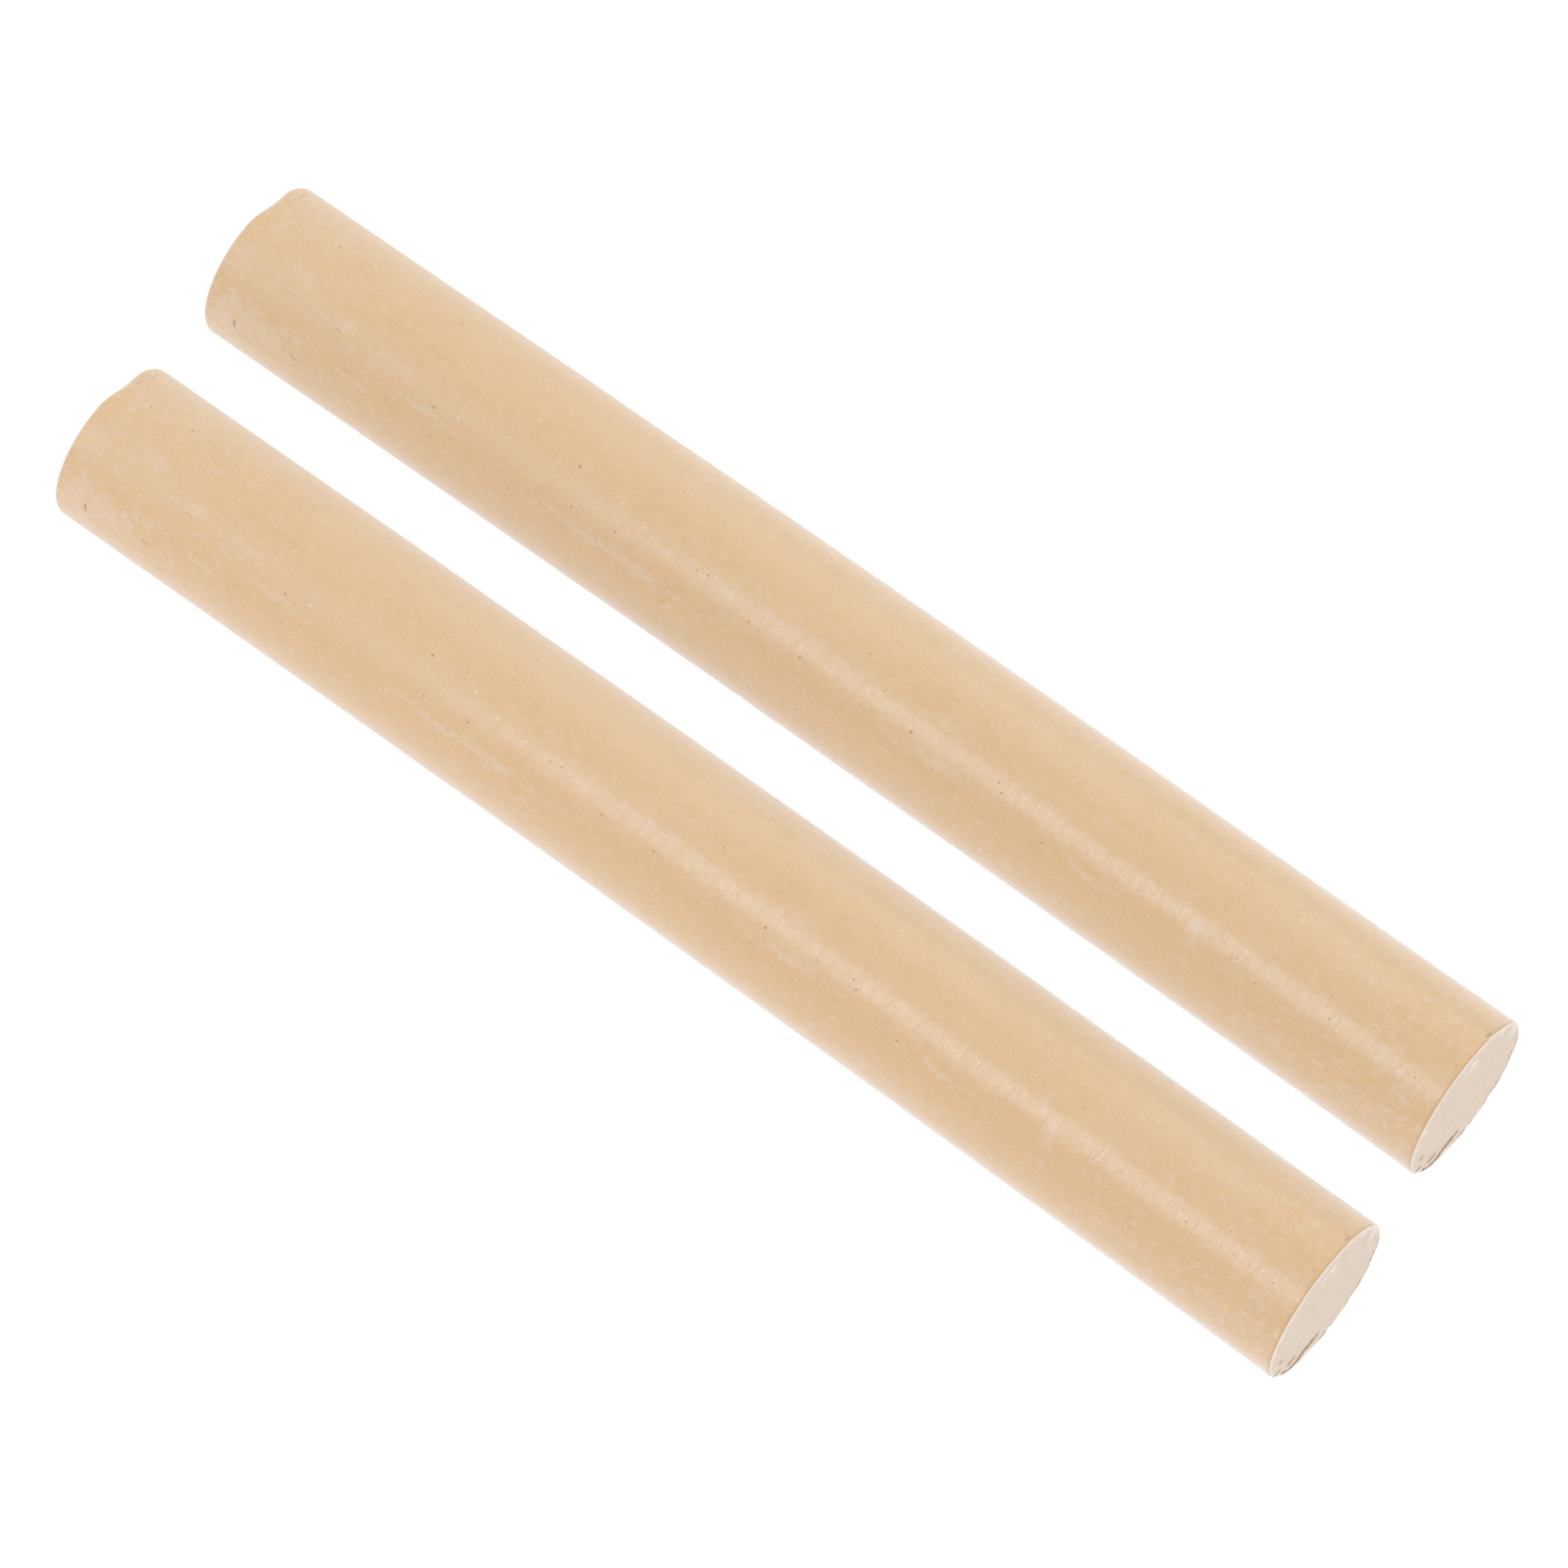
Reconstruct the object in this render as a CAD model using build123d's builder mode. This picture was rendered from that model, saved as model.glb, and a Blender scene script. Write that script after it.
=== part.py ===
from build123d import *
from math import cos, radians, sin
import os

# A pair of claves: two plain, solid, round wooden rods that are struck together.
# They lie side by side along X on the table plane Z = 0, with the origin on the table
# midway between them. Millimetres, +Z up.

# Driving dimensions of one rod
rod_length = 200.0
rod_diameter = 23.0
rim_radius = 0.4

# How the pair lies: axis to axis, and how far the front rod sits ahead of the back one
rod_spacing = 33.6
rod_stagger = 2.9

# The knocked corner: a flat bruise on the rim of the -X end of each rod
bruise_depth = 0.5
bruise_slope = 38.0  # degrees between the bruise and the end face
bruise_turn = 17.0  # degrees from straight up, towards +Y

rod_radius = rod_diameter / 2

claves = {
    "resting_clave": (-rod_stagger / 2, rod_spacing / 2),
    "striking_clave": (rod_stagger / 2, -rod_spacing / 2),
}

os.makedirs("parts", exist_ok=True)

for clave_name, (centre_x, centre_y) in claves.items():
    end_x = centre_x - rod_length / 2
    end_plane = Plane(
        origin=(end_x, centre_y, rod_radius), x_dir=(0, 1, 0), z_dir=(1, 0, 0)
    )

    # A point in the middle of the bruise, and the bruise's outward normal
    out_y = sin(radians(bruise_turn))
    out_z = cos(radians(bruise_turn))
    slope = radians(bruise_slope)
    bruise_plane = Plane(
        origin=(
            end_x + bruise_depth,
            centre_y + rod_radius * out_y,
            rod_radius + rod_radius * out_z,
        ),
        z_dir=(-cos(slope), sin(slope) * out_y, sin(slope) * out_z),
    )

    with BuildPart() as clave:
        with BuildSketch(end_plane):
            Circle(rod_radius)
        extrude(amount=rod_length)
        fillet(clave.edges().filter_by(GeomType.CIRCLE), radius=rim_radius)
        split(bisect_by=bruise_plane, keep=Keep.BOTTOM)

    clave.part.label = clave_name
    export_step(clave.part, f"parts/{clave_name}.step")
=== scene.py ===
"""A pair of claves: two solid round wooden rods, lying side by side on a pale table."""

import math

import bmesh
import bpy
import numpy as np
from mathutils import Matrix, Vector, noise


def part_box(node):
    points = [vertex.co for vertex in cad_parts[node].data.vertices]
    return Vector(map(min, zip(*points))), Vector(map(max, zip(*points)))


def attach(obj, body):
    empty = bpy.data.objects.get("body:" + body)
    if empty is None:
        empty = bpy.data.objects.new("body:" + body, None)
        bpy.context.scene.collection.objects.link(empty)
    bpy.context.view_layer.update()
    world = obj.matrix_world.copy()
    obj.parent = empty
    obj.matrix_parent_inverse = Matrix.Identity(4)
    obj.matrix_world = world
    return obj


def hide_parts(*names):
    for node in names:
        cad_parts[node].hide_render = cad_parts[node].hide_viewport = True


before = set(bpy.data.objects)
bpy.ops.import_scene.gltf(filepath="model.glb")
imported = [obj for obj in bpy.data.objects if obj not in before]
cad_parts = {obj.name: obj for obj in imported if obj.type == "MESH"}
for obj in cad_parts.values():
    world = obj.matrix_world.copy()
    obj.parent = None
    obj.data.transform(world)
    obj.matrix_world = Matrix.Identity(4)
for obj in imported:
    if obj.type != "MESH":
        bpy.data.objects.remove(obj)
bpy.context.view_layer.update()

# The shape and the marks are written in millimetres; the scene is in metres.
MM = 0.001

# Each rod's node, and the body that it rides on
RODS = {"resting_clave": "resting", "striking_clave": "striking"}

# One rod's size, from the frame
low_corner, high_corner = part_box("resting_clave")
HALF_LENGTH = (high_corner.x - low_corner.x) / 2 / MM
RADIUS = (high_corner.z - low_corner.z) / 2 / MM
RIM = 0.4  # rounding of the end rims

# A place on a rod is (along, turn): along in millimetres from its middle, towards the
# front end, and turn in degrees round it from straight up, towards -Y.

# ------------------------------------------------------------------ the turned rod

AROUND = 232  # facets round the rod
FACE_RINGS = 22
RIM_RINGS = 5
RING_GAP_END = 0.25
RING_GAP_MIDDLE = 0.85
FINE_STRETCH = 11.0  # how far the close rings reach in from each end
MERGE_GAP = 0.001
SAWN_RIM = 0.35  # the share of the rounding that shows sawn wood, next to the end


def ring_places():
    """Where the rings of the side stand along the rod, close together near both ends."""
    reach = HALF_LENGTH - RIM
    near = np.arange(reach - FINE_STRETCH, reach, RING_GAP_END)
    count = round(2 * (reach - FINE_STRETCH) / RING_GAP_MIDDLE)
    middle = np.linspace(FINE_STRETCH - reach, reach - FINE_STRETCH, count)
    return [*(-near[::-1]), *middle[1:-1], *near]


def turned_profile():
    """Half of the rod's lengthwise section, as (along, out) from back centre to front centre."""
    flat = RADIUS - RIM
    face = [(HALF_LENGTH, flat * ring / FACE_RINGS) for ring in range(FACE_RINGS)]
    rim = []
    for ring in range(RIM_RINGS + 1):
        turn = math.radians(90) * (1 - ring / RIM_RINGS)
        along = HALF_LENGTH - RIM + RIM * math.sin(turn)
        rim.append((along, flat + RIM * math.cos(turn)))
    front = face + rim
    back = [(-along, out) for along, out in front]
    return back + [(along, RADIUS) for along in ring_places()] + front[::-1]


def turn_rod():
    """The rod as turned: its profile spun about X, centred on the origin."""
    bm = bmesh.new()
    points = [bm.verts.new((along, 0, out)) for along, out in turned_profile()]
    edges = [bm.edges.new(pair) for pair in zip(points, points[1:])]
    bmesh.ops.spin(
        bm,
        geom=points + edges,
        cent=(0, 0, 0),
        axis=(1, 0, 0),
        dvec=(0, 0, 0),
        angle=math.tau,
        steps=AROUND,
        use_merge=True,
        use_duplicate=False,
    )
    bmesh.ops.remove_doubles(bm, verts=bm.verts, dist=MERGE_GAP)
    bmesh.ops.recalc_face_normals(bm, faces=bm.faces)
    for face in bm.faces:
        face.smooth = True
        on_end = abs(face.calc_center_median().x) > HALF_LENGTH - SAWN_RIM * RIM
        face.material_index = 1 if on_end else 0
    mesh = bpy.data.meshes.new("turned_rod")
    bm.to_mesh(mesh)
    bm.free()
    return mesh


# ------------------------------------------------------------------ wear in the shape

BOW = 0.5  # how far the middle and the ends stand apart, the middle towards +Y
FLARE_FRONT = 0.09  # how far each end stands proud of the barrel
FLARE_BACK = 0.05
FLARE_REACH = 12.0

# The knocked corner of the back rim, as in the design
BRUISE_DEPTH = 0.5
BRUISE_HOLLOW = 0.25  # how much deeper the middle of the flat is worn
BRUISE_SLOPE = math.radians(38.0)
BRUISE_TURN = -17.0
BRUISE_REACH = 3.0
BRUISE_BLUR = 0.15  # how softly the flat meets the rod

# Small chips out of the shape: (along, turn), reach along, reach round, depth
CHIPS = [
    ((100.0, 168.0), 0.5, 1.6, 0.08),
    ((100.0, 188.0), 0.3, 0.5, 0.16),
    ((100.0, -146.0), 0.3, 1.1, 0.08),
    ((100.0, -112.0), 0.3, 1.4, 0.07),
    ((99.8, -22.0), 0.3, 0.8, 0.12),
    ((100.0, 124.0), 0.4, 0.9, 0.16),
    ((94.5, -64.0), 0.8, 0.5, 0.10),
    ((98.0, -66.0), 0.9, 0.5, 0.12),
    ((90.0, 107.0), 1.6, 0.8, 0.12),
    ((85.0, 108.0), 1.2, 0.6, 0.09),
    ((76.5, 106.0), 1.6, 0.6, 0.08),
    ((-94.7, 74.0), 0.25, 0.2, 0.10),
]

# A chip is as deep as it says near its middle, and fades out unevenly. CHIP_START and
# CHIP_LIMIT are in reaches.
CHIP_START = 1.25
CHIP_LIMIT = 1.6
CHIP_UNEVENNESS = 0.5
CHIP_GRAIN = 1.7  # the larger, the finer the unevenness

# Slow unevenness of the side, and quicker unevenness of the rims, rubbed rather than cut
WAVER = 0.05
WAVER_GRAIN = np.array([0.05, 0.12, 0.12])
RIM_WAVER = 0.05
RIM_WAVER_GRAIN = 0.9
RIM_WAVER_REACH = 0.8
RIM_WAVER_LEAST = 0.02
SIDE_SKIN = 2.0  # how deep under the side a point of an end face still moves with it
ON_AXIS = 0.01  # nearer the axis than this, a point has no direction out of it


def spot(along, turn, out=RADIUS):
    """The point on the true rod at that place, or as far out from its axis as out says."""
    angle = math.radians(turn)
    return np.array([along, -out * math.sin(angle), out * math.cos(angle)])


def outward(points):
    """The direction straight out of the rod's axis at each point, of length 1 off the axis."""
    level = points * np.array([0, 1, 1])
    return level / np.maximum(np.linalg.norm(level, axis=1), ON_AXIS)[:, None]


def nearness(points, middle, reach_along, reach_round):
    """How far each point is from the middle, measured in reaches."""
    away = points - middle
    sideways = np.hypot(away[:, 1], away[:, 2])
    return np.hypot(away[:, 0] / reach_along, sideways / reach_round)


def add_flare(points):
    """Both ends stand slightly proud of the barrel."""
    for end, height in ((1, FLARE_FRONT), (-1, FLARE_BACK)):
        inward = np.maximum(HALF_LENGTH - end * points[:, 0], 0)
        points[:, 1:] *= 1 + height / RADIUS * np.exp(-inward / FLARE_REACH)[:, None]


def add_bruise(points):
    """The back rim's corner is knocked flat."""
    out = spot(0, BRUISE_TURN, 1.0)
    normal = math.sin(BRUISE_SLOPE) * out - np.array([math.cos(BRUISE_SLOPE), 0, 0])
    middle = spot(BRUISE_DEPTH - HALF_LENGTH, BRUISE_TURN)
    above = (points - middle) @ normal
    away = np.linalg.norm(points - middle, axis=1)
    above += BRUISE_HOLLOW * np.exp(-((away / BRUISE_REACH) ** 2))
    points -= (BRUISE_BLUR * np.logaddexp(0, above / BRUISE_BLUR))[:, None] * normal


def add_chips(points, true_points):
    """Each chip is a rough hollow that eats into the end and the side alike."""
    inward = -outward(true_points)
    inward[:, 0] -= np.sign(true_points[:, 0]) * (np.abs(true_points[:, 0]) > HALF_LENGTH - RIM)
    for place, reach_along, reach_round, depth in CHIPS:
        near = nearness(true_points, spot(*place), reach_along, reach_round)
        for index in np.flatnonzero(near < CHIP_LIMIT):
            rough = noise.noise(Vector(true_points[index]) * CHIP_GRAIN)
            share = np.clip(CHIP_START - near[index] + CHIP_UNEVENNESS * rough, 0, 1)
            points[index] += inward[index] * depth * share


def add_waver(points, true_points):
    """The side is slightly uneven, and the rims more so."""
    out = outward(true_points)
    from_end = np.maximum(HALF_LENGTH - np.abs(true_points[:, 0]), 0)
    at_rim = np.exp(-from_end / RIM_WAVER_REACH)
    from_axis = np.hypot(true_points[:, 1], true_points[:, 2])
    on_side = np.clip(from_axis - RADIUS + SIDE_SKIN, 0, 1)
    for index in np.flatnonzero(on_side):
        point = true_points[index]
        push = WAVER * noise.noise(Vector(point * WAVER_GRAIN))
        if at_rim[index] > RIM_WAVER_LEAST:
            push += RIM_WAVER * at_rim[index] * noise.noise(Vector(point) * RIM_WAVER_GRAIN)
        points[index] += out[index] * push * on_side[index]


def add_bow(points):
    """The rod is slightly bent, its middle towards +Y."""
    share = points[:, 0] / HALF_LENGTH
    points[:, 1] += BOW * (0.5 - share**2)


def worn_rod(materials):
    """The turned rod with its wear, still in millimetres and centred on the origin.

    Its materials read two attributes: place, the point on the true rod, and bloom.
    """
    mesh = turn_rod()
    points = np.zeros(len(mesh.vertices) * 3)
    mesh.vertices.foreach_get("co", points)
    points = points.reshape(-1, 3)
    true_points = points.copy()
    place = mesh.attributes.new("place", "FLOAT_VECTOR", "POINT")
    place.data.foreach_set("vector", true_points.astype(np.float32).ravel())
    bloom = mesh.attributes.new("bloom", "FLOAT", "POINT")
    bloom.data.foreach_set("value", bloom_on(true_points).astype(np.float32))
    add_waver(points, true_points)
    add_flare(points)
    add_bruise(points)
    add_chips(points, true_points)
    add_bow(points)
    mesh.vertices.foreach_set("co", points.ravel())
    for material in materials:
        mesh.materials.append(material)
    return mesh


def lay_rod(pattern, node):
    """A copy of the rod where its node lies. Each is lit as if it lay there alone."""
    low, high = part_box(node)
    mesh = pattern.copy()
    mesh.transform(Matrix.Translation((low + high) / 2) @ Matrix.Scale(MM, 4))
    mesh.update()
    rod = bpy.data.objects.new(node + "_wood", mesh)
    rod.visible_diffuse = False
    rod.visible_glossy = False
    bpy.context.scene.collection.objects.link(rod)
    return rod


# ------------------------------------------------------------------ marks on the surface

# Pale bloom rubbed into the side: (along, turn), reach along, reach round, strength
BLOOM = [
    ((-96.0, 68.0), 4.0, 4.5, 1.0),
    ((-91.0, 67.0), 5.0, 2.2, 0.9),
    ((-86.0, 55.0), 4.0, 1.6, 0.6),
    ((-97.5, 30.0), 2.5, 3.0, 0.8),
    ((-89.5, 17.0), 3.5, 1.6, 0.8),
    ((-95.5, -5.0), 3.5, 4.0, 0.6),
    ((-89.0, -26.0), 3.0, 3.0, 0.5),
    ((-80.0, 25.5), 2.0, 0.9, 1.0),
    ((-72.0, 28.0), 3.0, 0.7, 0.9),
    ((-74.0, 38.0), 1.2, 0.8, 0.9),
    ((-76.0, 57.0), 2.4, 1.0, 0.7),
    ((-64.0, 45.0), 5.0, 0.8, 0.8),
    ((-31.0, 52.0), 14.0, 0.9, 0.9),
    ((-17.0, 29.0), 6.0, 0.8, 0.7),
    ((-2.0, 24.0), 9.0, 1.0, 0.7),
    ((0.5, -32.0), 1.3, 1.0, 0.8),
    ((13.0, -30.0), 2.0, 0.9, 0.8),
    ((19.0, 19.0), 3.0, 0.8, 0.6),
    ((21.0, 43.0), 5.5, 0.9, 1.0),
    ((45.0, 48.0), 4.0, 0.8, 0.7),
    ((40.0, 80.0), 7.0, 1.0, 0.5),
    ((40.2, 33.0), 0.5, 1.6, 0.9),
    ((58.8, 24.0), 0.7, 1.6, 1.0),
    ((61.2, 33.0), 0.9, 1.2, 1.3),
    ((61.6, 44.0), 0.6, 2.2, 1.0),
    ((78.0, -16.0), 3.0, 2.0, 0.4),
    ((84.0, -3.0), 5.5, 2.6, 0.45),
    ((93.0, -33.0), 5.0, 3.5, 0.4),
    ((96.0, -56.0), 1.6, 0.8, 1.0),
    ((94.0, 20.0), 4.5, 3.0, 0.3),
    ((95.0, 50.0), 4.5, 4.5, 0.5),
    ((92.0, 70.0), 6.0, 3.0, 0.5),
    ((76.0, 68.0), 7.0, 2.0, 0.4),
]

# The pinholes that stand out: (along, turn), radius
PINHOLES = [
    ((-42.0, 16.5), 0.28),
    ((15.5, 36.0), 0.28),
    ((-11.0, 37.5), 0.22),
    ((-2.5, 37.5), 0.22),
    ((-63.5, 39.0), 0.22),
    ((-40.0, 41.5), 0.22),
    ((-33.0, 39.0), 0.20),
    ((38.0, 46.5), 0.20),
    ((30.0, 34.5), 0.20),
    ((29.0, 30.0), 0.18),
    ((95.5, 31.0), 0.14),
    ((82.0, 32.0), 0.14),
    ((71.5, 40.5), 0.14),
    ((87.5, 20.0), 0.13),
    ((-94.5, -13.5), 0.20),
    ((-88.0, -16.5), 0.20),
    ((-95.0, -31.5), 0.20),
    ((-44.0, -25.5), 0.18),
    ((-68.0, -21.0), 0.18),
    ((-19.0, 27.5), 0.18),
    ((5.0, 9.5), 0.18),
]

# Fine dark lines in the side: from, to, half width, darkness
LINES = [
    ((-94.9, 71.5), (-94.8, 75.0), 0.17, 1.0),
    ((-94.8, 75.0), (-94.4, 77.5), 0.10, 0.8),
    ((-94.7, 28.0), (-80.5, 33.0), 0.06, 0.22),
    ((-81.0, 32.0), (-80.0, 33.4), 0.10, 0.4),
    ((-77.0, 8.0), (-64.5, 8.5), 0.06, 0.22),
    ((-82.6, 81.5), (-81.8, 84.0), 0.13, 0.6),
    ((-85.4, 67.5), (-84.6, 69.5), 0.12, 0.6),
    ((-3.0, 37.6), (-0.8, 37.8), 0.06, 0.3),
    ((-11.0, 37.8), (-9.0, 38.6), 0.06, 0.3),
    ((-98.5, -22.0), (-97.9, -35.0), 0.10, 0.35),
    ((-97.9, -35.0), (-98.4, -46.0), 0.13, 0.5),
    ((-99.0, -30.0), (-98.6, -38.0), 0.08, 0.4),
    ((46.5, 81.0), (55.0, 82.0), 0.06, 0.25),
    ((93.5, -57.5), (96.0, -59.0), 0.16, 0.9),
    ((97.0, -59.0), (99.0, -60.5), 0.13, 0.7),
    ((88.5, 105.5), (91.0, 107.0), 0.12, 0.8),
    ((84.0, 106.0), (86.0, 107.0), 0.10, 0.6),
    ((75.5, 104.0), (78.0, 105.0), 0.10, 0.6),
    ((99.3, -19.5), (99.4, -24.5), 0.13, 0.8),
]

# Cracks and specks in the front face, and painted shade along its lower rim: from, to, half width,
# darkness.
# Here a place is (out from the middle, turn).
FACE_LINES = [
    ((8.4, 172.0), (8.7, 163.0), 0.34, 0.9),
    ((8.7, 163.0), (9.1, 155.0), 0.48, 1.0),
    ((9.1, 155.0), (10.2, 151.0), 0.42, 1.0),
    ((10.2, 151.0), (10.9, 144.0), 0.34, 1.0),
    ((10.9, 144.0), (11.1, 130.0), 0.22, 0.8),
    ((8.9, 138.0), (9.5, 132.0), 0.34, 0.6),
    ((9.2, 102.0), (9.5, 104.0), 0.20, 0.5),
    ((10.5, 117.0), (11.1, 116.0), 0.24, 0.6),
    # The last three are painted shade: dark stretches along the lower rim, where its rounding
    # turns away
    ((11.0, -178.0), (11.1, -175.0), 0.40, 1.0),
    ((11.1, -134.0), (11.1, -150.0), 0.30, 1.0),
    ((11.1, -106.0), (11.1, -114.0), 0.26, 0.9),
]

# Patches of the front face that are rubbed white: (out from the middle, turn), radius
FACE_PATCHES = [
    ((8.8, -4.0), 1.2),
    ((8.7, 7.0), 0.9),
    ((10.6, -66.0), 1.6),
    ((10.9, -40.0), 1.0),
    ((11.2, 60.0), 1.2),
    ((11.3, 76.0), 1.2),
    ((10.4, 159.0), 1.3),
    ((10.9, 149.0), 0.8),
]


def bloom_on(points):
    """How much bloom is rubbed into the surface at each point: 0 is none."""
    amount = np.zeros(len(points))
    for place, reach_along, reach_round, strength in BLOOM:
        near = nearness(points, spot(*place), reach_along, reach_round)
        amount = np.maximum(amount, strength * np.exp(-(near**2)))
    return amount


# ------------------------------------------------------------------ drawing with nodes

# The sockets of a Mix node that mixes colours
MIX_SHARE = 0
MIX_FIRST = 6
MIX_SECOND = 7
MIX_COLOUR = 2

NOISE_ROUGHNESS = 0.55
DOT_CORE = 0.3  # the share of a dot's radius that is at full strength
DOT_CONTRAST = 2.0  # the larger, the more of the dots are faint
HOLE_CORE = 0.35
LINE_CORE = 0.6  # where a line starts to fade, and where it ends, in half widths
LINE_LIMIT = 1.3

# The light that goes into the wood and comes out close by: its share, how far it goes, and
# how much further its red goes than its blue
DEPTH_SHARE = 0.15
DEPTH_REACH = 1.5 * MM
DEPTH_COLOUR = (1.0, 0.6, 0.3)


class Tree:
    """Adds nodes to one material."""

    def __init__(self, name):
        self.material = bpy.data.materials.new(name)
        self.material.use_nodes = True
        self.nodes = self.material.node_tree.nodes
        self.links = self.material.node_tree.links
        self.shader = self.nodes["Principled BSDF"]

    def fill(self, socket, value):
        """Links or sets one input."""
        if isinstance(value, bpy.types.NodeSocket):
            self.links.new(value, socket)
        else:
            socket.default_value = value

    def add(self, kind, out=0, settings=(), **inputs):
        """A node of that kind, with its settings, its inputs filled, and one output returned."""
        made = self.nodes.new("ShaderNode" + kind)
        for key, value in dict(settings).items():
            setattr(made, key, value)
        for key, value in inputs.items():
            self.fill(made.inputs[key.replace("_", " ")], value)
        return made.outputs[out]

    def listed(self, kind, operation, values, out=0):
        """A node with that operation, its inputs filled in their order."""
        made = self.nodes.new("ShaderNode" + kind)
        made.operation = operation
        for socket, value in zip(made.inputs, values):
            self.fill(socket, value)
        return made.outputs[out]

    def math(self, operation, *numbers):
        return self.listed("Math", operation, numbers)

    def vector(self, operation, *values, out="Vector"):
        return self.listed("VectorMath", operation, values, out)

    def times(self, value, factor):
        return self.math("MULTIPLY", value, factor)

    def plus(self, base, value, factor):
        """The base with factor times the value added to it."""
        return self.math("MULTIPLY_ADD", value, factor, base)

    def most(self, masks):
        """The largest of several masks."""
        total = masks[0]
        for mask in masks[1:]:
            total = self.math("MAXIMUM", total, mask)
        return total

    def read(self, name, out="Vector"):
        """An attribute of the mesh."""
        return self.add("Attribute", out=out, settings={"attribute_name": name})

    def split(self, place):
        """How far a place is along the rod, across it and up."""
        parts = self.nodes.new("ShaderNodeSeparateXYZ")
        self.fill(parts.inputs[0], place)
        return tuple(parts.outputs)

    def ramp(self, value, start, end, top=1.0):
        """0 before start and top after end, smooth between; end may be the lower."""
        smooth = {"interpolation_type": "SMOOTHSTEP"}
        sizes = {"From_Min": start, "From_Max": end, "To_Max": top}
        return self.add("MapRange", settings=smooth, Value=value, **sizes)

    def mix(self, share, first, second):
        """That share of the second colour over the first."""
        made = self.nodes.new("ShaderNodeMix")
        made.data_type = "RGBA"
        self.fill(made.inputs[MIX_SHARE], share)
        self.fill(made.inputs[MIX_FIRST], first)
        self.fill(made.inputs[MIX_SECOND], second)
        return made.outputs[MIX_COLOUR]

    def noise(self, place, size, detail=2.0, stretch=(1, 1, 1), shift=0.0):
        """Soft noise whose spots are about size millimetres across, stretched along each axis."""
        scaled = [1 / (size * share) for share in stretch]
        at = self.vector("MULTIPLY_ADD", place, scaled, (shift,) * 3)
        rough = {"Detail": detail, "Roughness": NOISE_ROUGHNESS}
        return self.add("TexNoise", Vector=at, Scale=1.0, **rough)

    def dots(self, place, spacing, radius, share, shift=0.0):
        """Soft dots of mixed strength in random places, in a share of cells of that spacing."""
        at = self.vector("MULTIPLY_ADD", place, (1 / spacing,) * 3, (shift,) * 3)
        cells = self.nodes.new("ShaderNodeTexVoronoi")
        self.fill(cells.inputs["Vector"], at)
        self.fill(cells.inputs["Scale"], 1.0)
        lot = self.add("SeparateColor", out="Red", Color=cells.outputs["Color"])
        strength = self.math("POWER", self.ramp(lot, share, 0.0), DOT_CONTRAST)
        reach = radius / spacing
        dot = self.ramp(cells.outputs["Distance"], reach, DOT_CORE * reach)
        return self.times(dot, strength)

    def pinhole(self, place, at, radius):
        """A soft round mark."""
        away = self.vector("DISTANCE", place, at, out="Value")
        return self.ramp(away, radius, HOLE_CORE * radius)

    def line(self, place, start, end, half_width, strength):
        """A line of that half width between two points, fading over its edge."""
        run = end - start
        from_start = self.vector("SUBTRACT", place, start)
        share = self.vector("DOT_PRODUCT", from_start, run / (run @ run), out="Value")
        held = self.add("Clamp", Value=share)
        held_run = self.add("CombineXYZ", X=held, Y=held, Z=held)
        foot = self.vector("MULTIPLY_ADD", run, held_run, start)
        away = self.vector("DISTANCE", place, foot, out="Value")
        return self.ramp(away, LINE_LIMIT * half_width, LINE_CORE * half_width, strength)

    def finish(self, colour, height, unit):
        """Gives the shader its colour, its bumps, with heights in that unit, and its depth."""
        self.fill(self.shader.inputs["Base Color"], colour)
        bump = self.add("Bump", Height=height, Strength=1.0, Distance=unit)
        self.fill(self.shader.inputs["Normal"], bump)
        self.shader.inputs["Subsurface Weight"].default_value = DEPTH_SHARE
        self.shader.inputs["Subsurface Radius"].default_value = DEPTH_COLOUR
        self.shader.inputs["Subsurface Scale"].default_value = DEPTH_REACH
        return self.material


# ------------------------------------------------------------------ the wood's colours

TAN = (0.688, 0.459, 0.238, 1.0)
HONEY = (0.678, 0.442, 0.217, 1.0)
# painted shade: the deeper honey given to the side towards -Y
SHADE_SIDE_HONEY = (0.678, 0.425, 0.199, 1.0)
PALE_TAN = (0.714, 0.489, 0.281, 1.0)
BLOOM_WHITE = (0.705, 0.496, 0.320, 1.0)
FLECK_WHITE = (0.760, 0.600, 0.440, 1.0)
STAIN_BROWN = (0.50, 0.30, 0.13, 1.0)
DIRT_BROWN = (0.28, 0.12, 0.035, 1.0)
# the colour of the cracks, and of the painted shade along the lower rim
CRACK_AND_SHADE_BROWN = (0.24, 0.14, 0.05, 1.0)
CREAM = (0.76, 0.62, 0.50, 1.0)
DARK_CREAM = (0.70, 0.55, 0.42, 1.0)
RUBBED_WHITE = (0.88, 0.80, 0.73, 1.0)


# ------------------------------------------------------------------ the waxed side

# How strongly each layer covers the ones under it
FIGURE_STRENGTH = 0.5
# painted shade on the side towards -Y
SHADE_SIDE_STRENGTH = 0.85
END_BLOOM = 0.32
CLOUD_STRENGTH = 0.80
SCRAP_STRENGTH = 0.70
GRAIN_STRENGTH = 0.20
FLECK_STRENGTH = 0.75
STREWN_STRENGTH = 0.5  # pinholes in random places, beside the placed ones
MARK_STRENGTH = 0.70
BAND_STRENGTH = 0.45
RUBBED_STRENGTH = 0.8

# How much placed bloom thickens the cloudy bloom and its scraps
CLOUD_GAIN = 0.24
SCRAP_GAIN = 0.18

# How high each kind of unevenness stands, in millimetres
TURNING_HEIGHT = 0.042
COARSE_TURNING_HEIGHT = 0.055
SKIN_HEIGHT = 0.008
MARK_HEIGHT = -0.04

# The wax: its roughness at its brightest, and how much rougher it gets
WAX_ROUGHNESS = 0.16
DULL_FIGURE = 0.16
WORN_BACK = 0.23
SHEEN = 0.5
SHEEN_ROUGHNESS = 0.58


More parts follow.
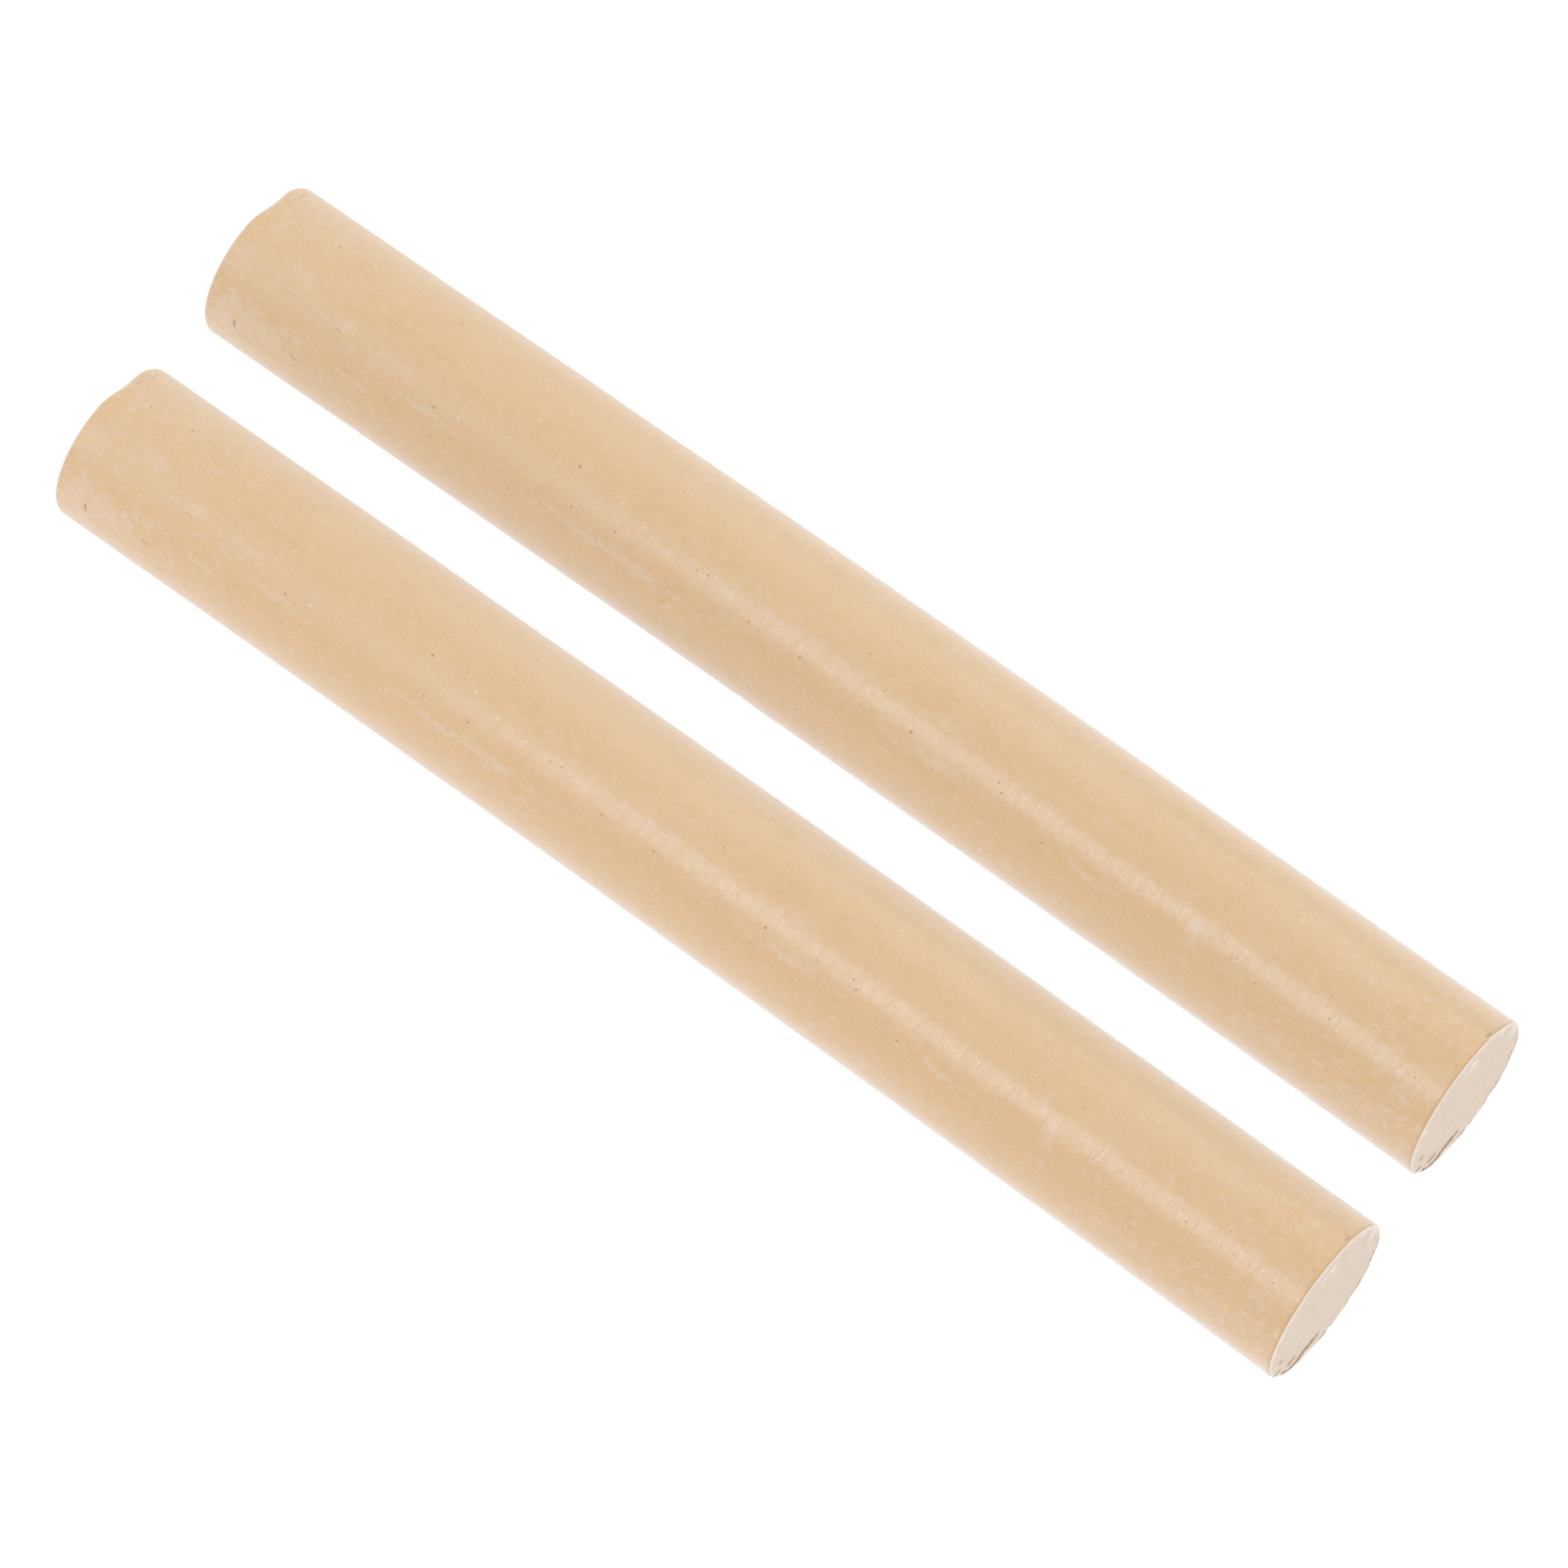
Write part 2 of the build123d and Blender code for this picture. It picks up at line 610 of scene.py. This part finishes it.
def mottled_wood(tree, place, across, figure):
    """The wood under the wax: tan and honey, with painted shade in a deeper honey on the side
    towards -Y.
    """
    slow = tree.noise(place, size=9.0, detail=3.0, stretch=(3.0, 1, 1))
    colour = tree.mix(tree.ramp(slow, 0.35, 0.65), TAN, HONEY)
    colour = tree.mix(tree.ramp(figure, 0.40, 0.75, FIGURE_STRENGTH), colour, PALE_TAN)
    # painted shade: the side towards -Y, turned from the large light, is deepened in colour
    return tree.mix(tree.ramp(across, -6.0, -10.0, SHADE_SIDE_STRENGTH), colour, SHADE_SIDE_HONEY)


def add_bloom(tree, place, along, colour):
    """Bloom: placed patches, more of it towards the ends, and a little everywhere."""
    placed = tree.read("bloom", out="Fac")
    towards_end = tree.ramp(tree.math("ABSOLUTE", along), 55.0, 100.0, END_BLOOM)
    cover = tree.math("MAXIMUM", placed, towards_end)
    cloud = tree.noise(place, size=0.9, detail=5.0, stretch=(1.4, 1, 1), shift=3.0)
    cloud = tree.plus(cloud, cover, CLOUD_GAIN)
    colour = tree.mix(tree.ramp(cloud, 0.54, 0.80, CLOUD_STRENGTH), colour, BLOOM_WHITE)
    scraps = tree.noise(place, size=0.95, detail=3.5, stretch=(1.5, 1, 1), shift=13.0)
    scraps = tree.plus(scraps, placed, SCRAP_GAIN)
    return tree.mix(tree.ramp(scraps, 0.61, 0.67, SCRAP_STRENGTH), colour, BLOOM_WHITE)


def add_grain(tree, place, colour):
    """Fine dark grain, and pale flecks of filler in the pores."""
    grain = tree.noise(place, size=0.2, detail=3.0, shift=5.0)
    colour = tree.mix(tree.ramp(grain, 0.35, 0.85, GRAIN_STRENGTH), colour, STAIN_BROWN)
    small = tree.dots(place, spacing=0.9, radius=0.18, share=0.5, shift=11.0)
    large = tree.dots(place, spacing=2.3, radius=0.34, share=0.5, shift=17.0)
    flecks = tree.times(tree.most([small, large]), FLECK_STRENGTH)
    return tree.mix(flecks, colour, FLECK_WHITE)


def side_marks(tree, place):
    """Marks that go into the wood: placed pinholes and lines, and fainter pinholes between."""
    holes = [tree.pinhole(place, spot(*at), radius) for at, radius in PINHOLES]
    lines = [tree.line(place, spot(*a), spot(*b), wide, dark) for a, b, wide, dark in LINES]
    small = tree.dots(place, spacing=0.85, radius=0.18, share=0.55)
    large = tree.dots(place, spacing=2.6, radius=0.28, share=0.7, shift=23.0)
    strewn = tree.times(tree.most([small, large]), STREWN_STRENGTH)
    return tree.most([*holes, *lines, strewn])


def add_rims(tree, place, along, colour):
    """A thin stained line behind the front rim, and both rims rubbed pale."""
    ragged = tree.noise(place, size=0.9, detail=4.0, shift=9.0)
    wander = tree.plus(along, ragged, 1.0)
    band = tree.ramp(wander, HALF_LENGTH - 0.30, HALF_LENGTH + 0.25, BAND_STRENGTH)
    colour = tree.mix(band, colour, STAIN_BROWN)
    edge = tree.plus(tree.math("ABSOLUTE", along), ragged, 0.25)
    rubbed = tree.ramp(edge, HALF_LENGTH + 0.02, HALF_LENGTH + 0.12, RUBBED_STRENGTH)
    return tree.mix(rubbed, colour, CREAM)


def side_height(tree, place, marks):
    """Turning marks run round the rod; the pinholes and lines are cut in."""
    turning = tree.noise(place, size=0.17, detail=1.0, stretch=(1, 14, 14))
    coarse_turning = tree.noise(place, size=0.42, detail=1.0, stretch=(1, 9, 9), shift=6.0)
    skin = tree.noise(place, size=0.8, shift=2.0)
    height = tree.times(skin, SKIN_HEIGHT)
    height = tree.plus(height, turning, TURNING_HEIGHT)
    height = tree.plus(height, coarse_turning, COARSE_TURNING_HEIGHT)
    return tree.plus(height, marks, MARK_HEIGHT)


def waxed_side():
    """Pale turned wood under wax: mottled, with bloom, flecks, pinholes and turning marks."""
    tree = Tree("waxed_side")
    place = tree.read("place")
    along, across, _ = tree.split(place)
    figure = tree.noise(place, size=1.5, detail=4.0, stretch=(1.8, 1, 1), shift=7.0)
    marks = side_marks(tree, place)

    colour = mottled_wood(tree, place, across, figure)
    colour = add_bloom(tree, place, along, colour)
    colour = add_grain(tree, place, colour)
    colour = tree.mix(tree.times(marks, MARK_STRENGTH), colour, DIRT_BROWN)
    colour = add_rims(tree, place, along, colour)

    # the wax is duller in places, and towards the back end
    dull = tree.math("MULTIPLY_ADD", tree.ramp(figure, 0.30, 0.75), DULL_FIGURE, WAX_ROUGHNESS)
    worn = tree.ramp(along, 40.0, -90.0, WORN_BACK)
    tree.fill(tree.shader.inputs["Roughness"], tree.math("ADD", dull, worn))
    tree.shader.inputs["Sheen Weight"].default_value = SHEEN
    tree.shader.inputs["Sheen Roughness"].default_value = SHEEN_ROUGHNESS
    return tree.finish(colour, side_height(tree, place, marks), unit=MM)


# ------------------------------------------------------------------ the sawn ends

# How strongly each layer covers the ones under it
END_CLOUD_STRENGTH = 0.5
END_GRAIN_STRENGTH = 0.5
DARK_SPECK_STRENGTH = 0.5
PALE_SPECK_STRENGTH = 0.7
EDGE_STRENGTH = 0.8
PATCH_STRENGTH = 0.7
CRACK_AND_RIM_SHADE_STRENGTH = 0.85

# A stain lies along each crack, and a wider painted shade along each rim line: its width and its
# darkness, as shares of the line's
STAIN_WIDTH = 2.0
STAIN_DARKNESS = 0.45

# The patches and the cracks are drawn unevenly: how wide they may stray, and how finely
STRAY = 1.4
STRAY_GRAIN = 1.6
STRAY_DETAIL = 3.0

# Heights are in units of END_BUMP
END_BUMP = 0.05 * MM
CRACK_HEIGHT = -3.0
END_CLOUD_HEIGHT = 0.6
END_ROUGHNESS = 0.7


def end_wood(tree, place, cloud, grain):
    """Cream end wood with cloudy patches, fine grain and specks."""
    colour = tree.mix(tree.ramp(cloud, 0.35, 0.70, END_CLOUD_STRENGTH), CREAM, DARK_CREAM)
    colour = tree.mix(tree.ramp(grain, 0.45, 0.70, END_GRAIN_STRENGTH), colour, RUBBED_WHITE)
    dark = tree.dots(place, spacing=0.6, radius=0.17, share=0.8)
    colour = tree.mix(tree.times(dark, DARK_SPECK_STRENGTH), colour, STAIN_BROWN)
    pale = tree.dots(place, spacing=0.7, radius=0.18, share=0.7, shift=31.0)
    return tree.mix(tree.times(pale, PALE_SPECK_STRENGTH), colour, RUBBED_WHITE)


def rough_edged(tree, place):
    """A place that strays from the true one, so that what is drawn there has ragged edges."""
    rough = {"Scale": STRAY_GRAIN, "Detail": STRAY_DETAIL}
    stray = tree.add("TexNoise", out="Color", Vector=place, **rough)
    stray = tree.vector("MULTIPLY_ADD", stray, (0, STRAY, STRAY), (0, -STRAY / 2, -STRAY / 2))
    return tree.vector("ADD", place, stray)


def add_rubbed_edge(tree, place, rough_place, out, colour):
    """The edge of the face is rubbed bright, more in some stretches than in others."""
    ragged = tree.noise(place, size=2.5, detail=4.0, shift=8.0)
    reach = tree.plus(out, ragged, 1.2)
    edge = tree.ramp(reach, RADIUS + 0.05, RADIUS + 0.35, EDGE_STRENGTH)
    colour = tree.mix(edge, colour, RUBBED_WHITE)
    patches = []
    for (from_middle, turn), radius in FACE_PATCHES:
        patches.append(tree.pinhole(rough_place, spot(HALF_LENGTH, turn, from_middle), radius))
    return tree.mix(tree.times(tree.most(patches), PATCH_STRENGTH), colour, RUBBED_WHITE)


def face_lines(tree, place, width=1.0, darkness=1.0):
    """The face's crack lines and specks, and the painted shade along its rim, at those shares of
    their width and darkness.
    """
    lines = []
    for (out_a, turn_a), (out_b, turn_b), wide, dark in FACE_LINES:
        start = spot(HALF_LENGTH, turn_a, out_a)
        end = spot(HALF_LENGTH, turn_b, out_b)
        lines.append(tree.line(place, start, end, width * wide, darkness * dark))
    return tree.most(lines)


def add_lower_rim_shade(tree, place, out, colour):
    """A broken dark line round the lower edge: painted shade where the rim turns down and away."""
    _, across, up = tree.split(place)
    broken = tree.noise(place, size=2.2, detail=3.0, shift=19.0)
    edge = tree.plus(out, tree.ramp(broken, 0.48, 0.60), 0.5)
    edge = tree.ramp(edge, RADIUS - 0.20, RADIUS + 0.05, EDGE_STRENGTH)
    low = tree.math("MULTIPLY", tree.ramp(up, 2.0, -3.0), tree.ramp(across, -9.0, -5.0))
    # painted shade: darkened only low down and away from the -Y side
    return tree.mix(tree.math("MULTIPLY", edge, low), colour, CRACK_AND_SHADE_BROWN)


def sawn_end():
    """Sawn and sanded end wood: pale, fine-grained, with a bright rubbed edge, small crack lines,
    and painted shade along the lower rim.
    """
    tree = Tree("sawn_end")
    place = tree.read("place")
    rough_place = rough_edged(tree, place)
    out = tree.vector("LENGTH", tree.vector("MULTIPLY", place, (0, 1, 1)), out="Value")
    cloud = tree.noise(place, size=2.0, detail=4.0)
    grain = tree.noise(place, size=0.25, detail=3.0, shift=4.0)
    stains_and_rim_shade = face_lines(tree, rough_place, STAIN_WIDTH, STAIN_DARKNESS)
    cracks_and_rim_shade = face_lines(tree, rough_place)

    colour = end_wood(tree, place, cloud, grain)
    colour = add_rubbed_edge(tree, place, rough_place, out, colour)
    # painted shade: the rim lines and their wider stains darken the lower rim, beside the real
    # cracks
    colour = tree.mix(stains_and_rim_shade, colour, STAIN_BROWN)
    colour = tree.mix(tree.times(cracks_and_rim_shade, CRACK_AND_RIM_SHADE_STRENGTH), colour, CRACK_AND_SHADE_BROWN)
    colour = add_lower_rim_shade(tree, place, out, colour)

    height = tree.plus(grain, cracks_and_rim_shade, CRACK_HEIGHT)
    height = tree.plus(height, cloud, END_CLOUD_HEIGHT)
    tree.shader.inputs["Roughness"].default_value = END_ROUGHNESS
    return tree.finish(colour, height, unit=END_BUMP)


# ------------------------------------------------------------------ the stage

# A long lens, high over the front ends of the rods
VIEW_AZIMUTH = math.radians(38.49)
VIEW_ELEVATION = math.radians(62.12)
VIEW_DISTANCE = 1013.4 * MM
VIEW_AIM = Vector((2.92, -1.85, RADIUS)) * MM
LENS = 180.0
SENSOR = 36.0
VIEW_NEAREST = 0.05
VIEW_FURTHEST = 50.0

WHITE = (1, 1, 1, 1)
ROOM_LIGHT = 0.89
SLIGHTLY_BLUE = (0.80, 0.96, 1.32)
FLOOR_SIDE = 12.0
FLOOR_GLOW = 0.70
FLOOR_GREY = (0.32, 0.32, 0.32, 1.0)
FLOOR_ROUGHNESS = 0.9


def add_camera():
    """The camera, aimed at the pair from its azimuth and elevation."""
    data = bpy.data.cameras.new("camera")
    data.lens = LENS
    data.sensor_width = SENSOR
    data.clip_start = VIEW_NEAREST
    data.clip_end = VIEW_FURTHEST
    level = math.cos(VIEW_ELEVATION)
    back = Vector(
        (
            math.sin(VIEW_AZIMUTH) * level,
            -math.cos(VIEW_AZIMUTH) * level,
            math.sin(VIEW_ELEVATION),
        )
    )
    camera = bpy.data.objects.new("camera", data)
    camera.location = VIEW_AIM + back * VIEW_DISTANCE
    camera.rotation_mode = "QUATERNION"
    camera.rotation_quaternion = (-back).to_track_quat("-Z", "Y")
    bpy.context.scene.collection.objects.link(camera)
    bpy.context.scene.camera = camera


def add_softbox(name, direction, distance, side, power, colour=(1, 1, 1)):
    """A square soft light that faces the origin from that direction."""
    data = bpy.data.lights.new(name, "AREA")
    data.shape = "SQUARE"
    data.size = side
    data.energy = power
    data.color = colour
    light = bpy.data.objects.new(name, data)
    towards = Vector(direction).normalized()
    light.location = towards * distance
    light.rotation_mode = "QUATERNION"
    light.rotation_quaternion = towards.to_track_quat("Z", "X")
    bpy.context.scene.collection.objects.link(light)


def add_softboxes():
    """The small one draws the long highlight on each rod, and the large one lights the tops."""
    add_softbox(
        "small_light",
        direction=(-0.22, -0.569, 0.768),
        distance=0.8,
        side=0.32,
        power=1.18,
        colour=SLIGHTLY_BLUE,
    )
    add_softbox("large_light", direction=(-0.1, 0.7, 0.7), distance=2.0, side=1.6, power=6.4)


def add_floor():
    """A pale floor that glows a little itself, so that shadows on it stay faint."""
    bm = bmesh.new()
    bmesh.ops.create_grid(bm, x_segments=1, y_segments=1, size=FLOOR_SIDE / 2)
    mesh = bpy.data.meshes.new("floor")
    bm.to_mesh(mesh)
    bm.free()
    tree = Tree("pale_floor")
    tree.shader.inputs["Base Color"].default_value = FLOOR_GREY
    tree.shader.inputs["Roughness"].default_value = FLOOR_ROUGHNESS
    tree.shader.inputs["Emission Color"].default_value = WHITE
    tree.shader.inputs["Emission Strength"].default_value = FLOOR_GLOW
    mesh.materials.append(tree.material)
    floor = bpy.data.objects.new("floor", mesh)
    bpy.context.scene.collection.objects.link(floor)


def add_room_light():
    """Even white light from all round."""
    world = bpy.data.worlds.new("room")
    world.use_nodes = True
    background = world.node_tree.nodes["Background"]
    background.inputs["Color"].default_value = WHITE
    background.inputs["Strength"].default_value = ROOM_LIGHT
    bpy.context.scene.world = world


bpy.context.scene.view_settings.view_transform = "Standard"
add_camera()
add_room_light()
add_softboxes()
add_floor()

pattern = worn_rod([waxed_side(), sawn_end()])
for node, body in RODS.items():
    rod = lay_rod(pattern, node)
    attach(rod, body)
    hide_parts(node)
